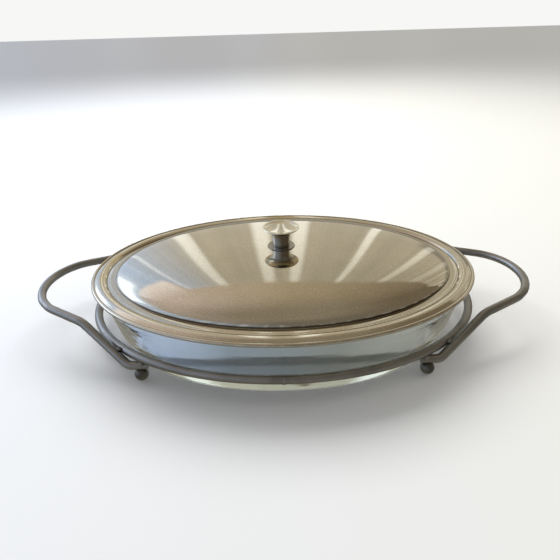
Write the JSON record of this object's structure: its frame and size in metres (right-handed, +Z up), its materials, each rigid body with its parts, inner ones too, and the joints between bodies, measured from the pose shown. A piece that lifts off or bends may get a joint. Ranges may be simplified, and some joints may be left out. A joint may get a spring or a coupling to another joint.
{
  "type": "covered serving dish",
  "caption": "Oval clear glass serving dish with a domed steel lid and trumpet knob, in a bent-wire stand with loop handles and ball feet.",
  "frame": {"origin": "middle of the footprint, on the surface that the ball feet stand on", "axes": "+X along the long side towards the right handle, +Y across to the back, +Z up through the knob"},
  "size_m": [0.445, 0.2436, 0.0901],
  "materials": {
    "lid_steel": "polished stainless steel, fine wipe marks and water spots",
    "knob_steel": "turned and polished steel",
    "fixing_steel": "plain zinc-plated steel",
    "clear_glass": "clear pressed glass with a faint green-grey tint",
    "wire_steel": "satin drawn wire, darkened with use",
    "ball_steel": "satin steel balls, dulled",
    "weld_metal": "ground weld beads"
  },
  "bodies": {
    "stand": {"support_ring": "wire_steel", "ring_butt_weld": "weld_metal", "left_handle": "wire_steel", "right_handle": "wire_steel", "left_front_ball_foot": "ball_steel", "left_front_foot_weld": "weld_metal", "left_front_leg_weld": "weld_metal", "left_rear_ball_foot": "ball_steel", "left_rear_foot_weld": "weld_metal", "left_rear_leg_weld": "weld_metal", "right_front_ball_foot": "ball_steel", "right_front_foot_weld": "weld_metal", "right_front_leg_weld": "weld_metal", "right_rear_ball_foot": "ball_steel", "right_rear_foot_weld": "weld_metal", "right_rear_leg_weld": "weld_metal"},
    "dish": {"glass_dish": "clear_glass"},
    "lid": {"lid_shell": "lid_steel", "knob": "knob_steel", "knob_base_disc": "knob_steel", "knob_washer": "fixing_steel", "knob_lock_washer": "fixing_steel", "knob_screw": "fixing_steel"}
  },
  "joints": [
    {"name": "dish_lift", "type": "slide", "parent": "stand", "child": "dish", "axis": [0, 0, 1], "range_m": [0, 0.08]},
    {"name": "lid_lift", "type": "slide", "parent": "dish", "child": "lid", "axis": [0, 0, 1], "range_m": [0, 0.1]}
  ]
}
